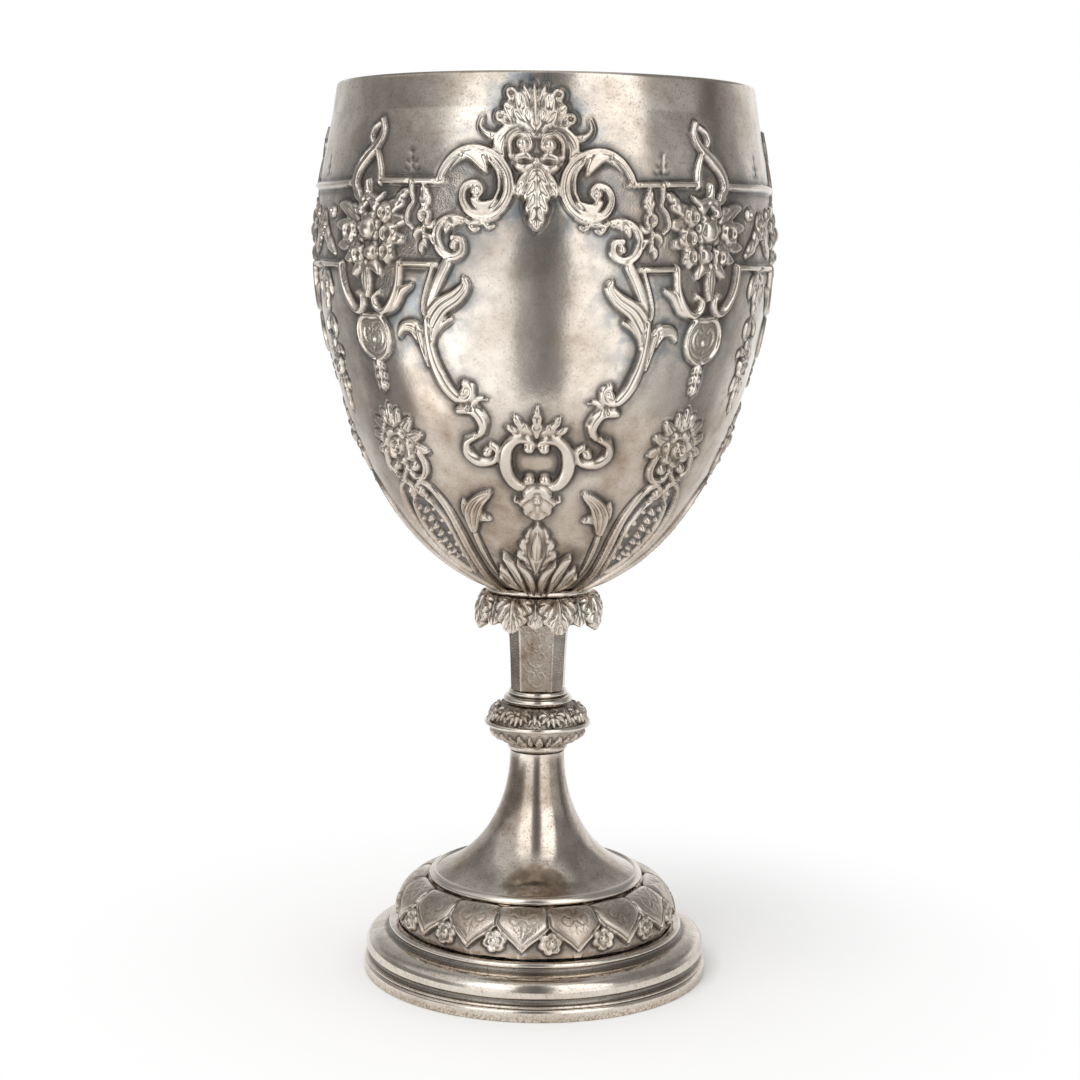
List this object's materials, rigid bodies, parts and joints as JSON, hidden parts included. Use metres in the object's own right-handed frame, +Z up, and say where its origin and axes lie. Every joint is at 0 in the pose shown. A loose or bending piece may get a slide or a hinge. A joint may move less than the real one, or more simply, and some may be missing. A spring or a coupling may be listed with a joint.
{
  "type": "footed goblet",
  "caption": "Large chased metal goblet with an egg-shaped bowl, a leaf calyx, a knopped stem and a stepped spreading foot.",
  "frame": {"origin": "centre of the foot's underside, on the surface the goblet stands on", "axes": "+Z up along the goblet's axis; the front of the bowl faces -Y"},
  "size_m": [0.154, 0.1532, 0.3],
  "materials": {
    "chased_silver": "chased and embossed silver, warm grey with dark recesses and bright ridges",
    "turned_silver": "smooth raised silver with a soft aged polish",
    "worn_silver": "wires and mouldings rubbed bright, brassy at the foot's edge",
    "fastener_steel": "plain turned metal inside the stem"
  },
  "bodies": {
    "root": {"bowl": "chased_silver", "bowl_collar_ring": "worn_silver", "leaf_frill": "chased_silver", "stem_tube": "turned_silver", "upper_collar": "worn_silver", "knop_upper": "chased_silver", "knop_girdle_wire": "worn_silver", "knop_lower": "chased_silver", "lower_collar": "worn_silver", "trumpet_foot": "turned_silver", "trumpet_edge_wire": "worn_silver", "leaf_band": "chased_silver", "foot_moulding": "turned_silver", "foot_edge_ring": "worn_silver", "bowl_boss": "fastener_steel", "tie_rod": "fastener_steel", "throat_washer": "fastener_steel", "rod_nut": "fastener_steel"}
  },
  "joints": []
}
